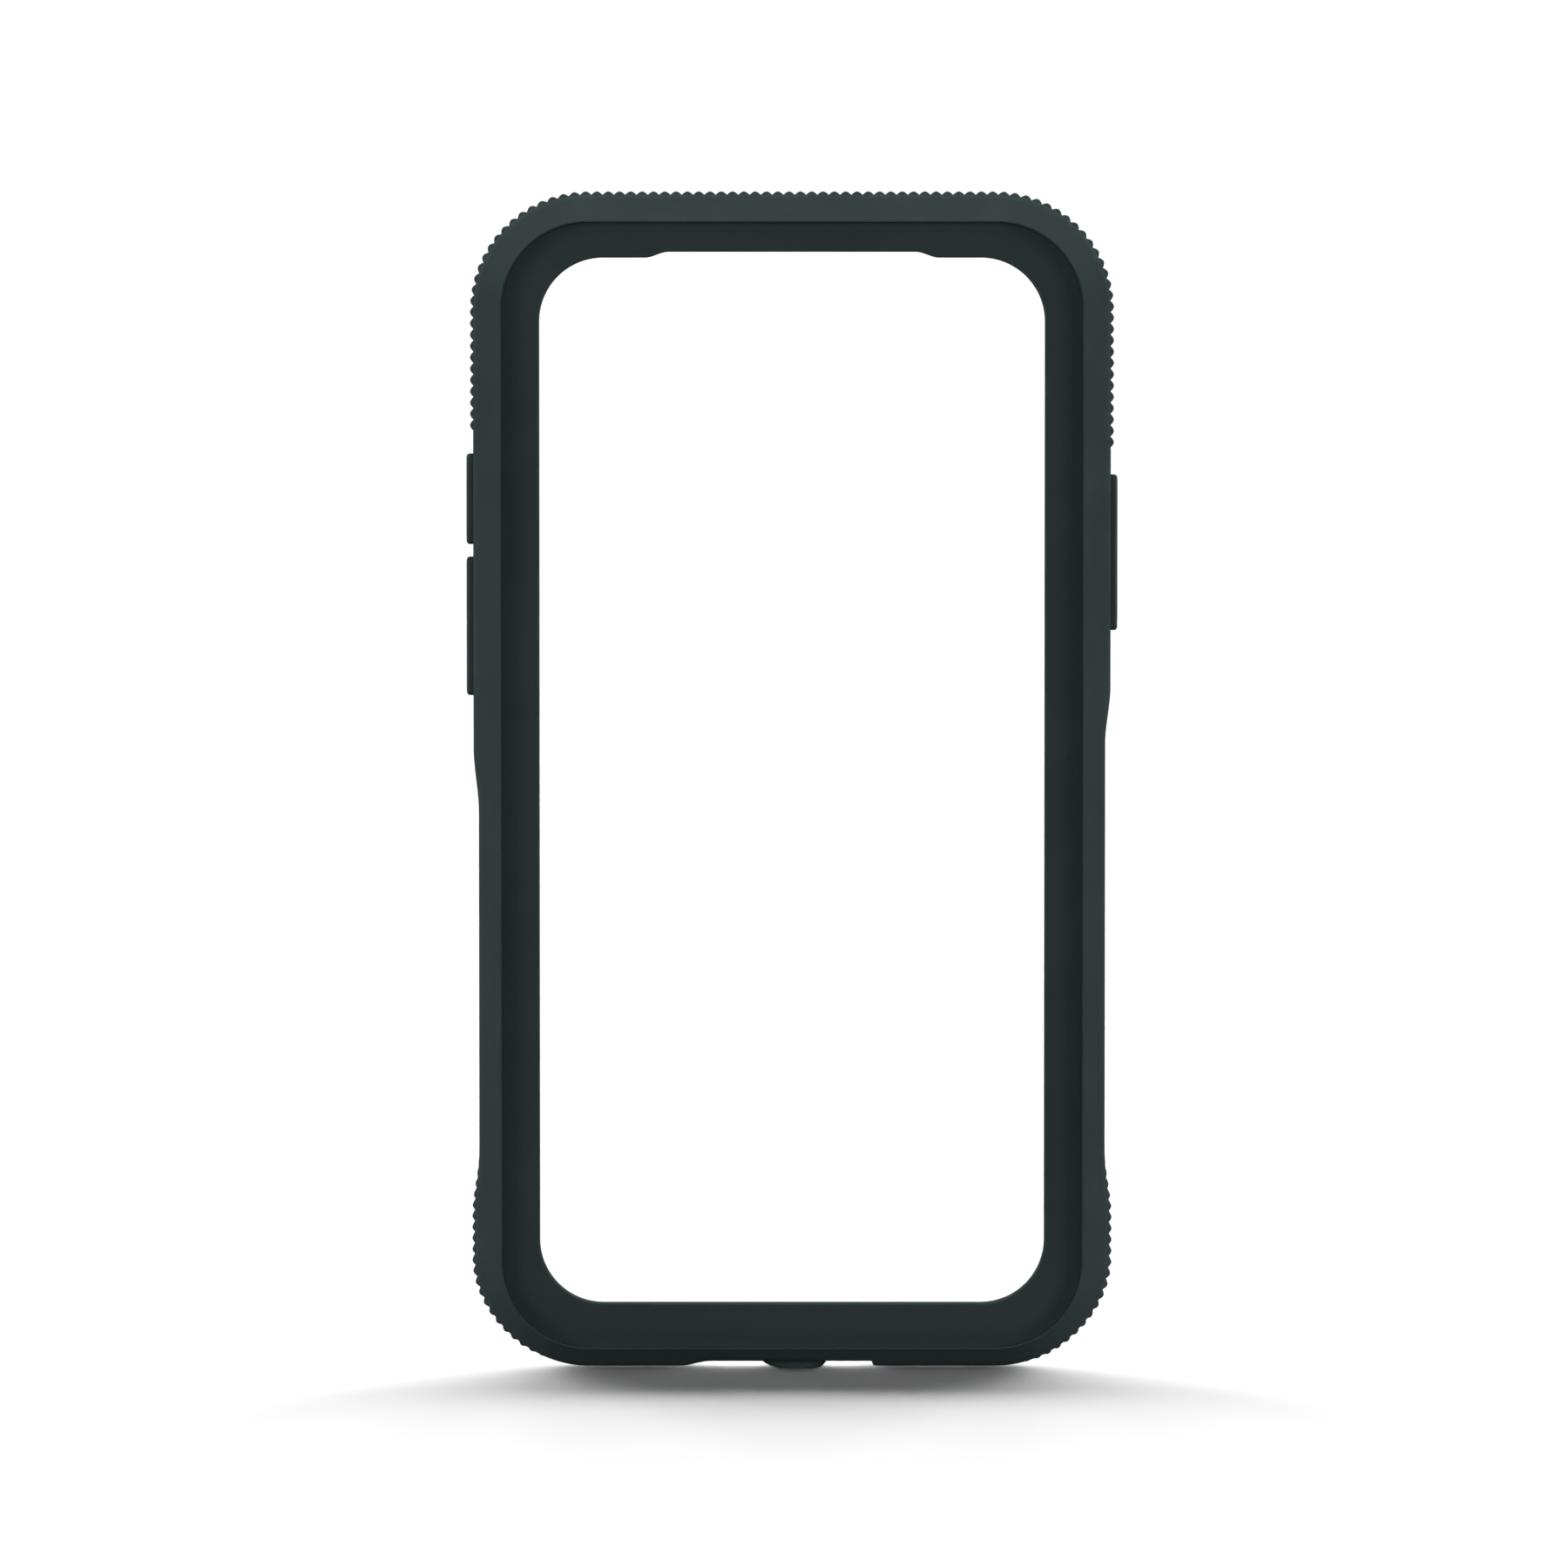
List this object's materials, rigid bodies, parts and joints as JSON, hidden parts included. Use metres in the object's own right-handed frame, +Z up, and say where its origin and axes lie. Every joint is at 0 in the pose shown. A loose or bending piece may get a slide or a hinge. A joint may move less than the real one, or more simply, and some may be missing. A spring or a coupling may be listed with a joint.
{
  "type": "phone case",
  "caption": "Rugged bumper case for a 5.8 inch phone: soft outer frame, stiff screen surround, ribbed corner grips, side keys and a hinged charging port cover.",
  "frame": {"origin": "on the surface the case stands on, under the middle of the case", "axes": "+Z up along the case, X across it, -Y is the side that the screen faces"},
  "size_m": [0.084, 0.012, 0.152],
  "materials": {
    "soft_bumper": "satin moulded elastomer, near-black with a cold green-grey cast",
    "stiff_liner": "fine matte moulded plastic, near black",
    "grip_rubber": "matte ribbed rubber",
    "key_cap": "satin key cap",
    "flap_rubber": "matte rubber"
  },
  "bodies": {
    "frame": {"bumper_frame": "soft_bumper", "inner_frame": "stiff_liner", "top_grip": "grip_rubber", "lower_left_grip": "grip_rubber", "lower_right_grip": "grip_rubber", "port_cover_tether": "flap_rubber"},
    "volume_up": {"volume_up_button": "key_cap"},
    "volume_down": {"volume_down_button": "key_cap"},
    "power": {"power_button": "key_cap"},
    "cover": {"port_cover": "flap_rubber"}
  },
  "joints": [
    {"name": "volume_up_press", "type": "slide", "parent": "frame", "child": "volume_up", "axis": [1, 0, 0], "range_m": [0, 0.0005], "stiffness_N_per_m": 3000, "springref_m": -0.0002},
    {"name": "volume_down_press", "type": "slide", "parent": "frame", "child": "volume_down", "axis": [1, 0, 0], "range_m": [0, 0.0005], "stiffness_N_per_m": 3000, "springref_m": -0.0002},
    {"name": "power_press", "type": "slide", "parent": "frame", "child": "power", "axis": [-1, 0, 0], "range_m": [0, 0.0005], "stiffness_N_per_m": 3000, "springref_m": -0.0002},
    {"name": "port_cover_hinge", "type": "hinge", "parent": "frame", "child": "cover", "pos_m": [-0.0099, 0.00085, 0.00115], "axis": [0, 1, 0], "range_deg": [0, 110]}
  ]
}
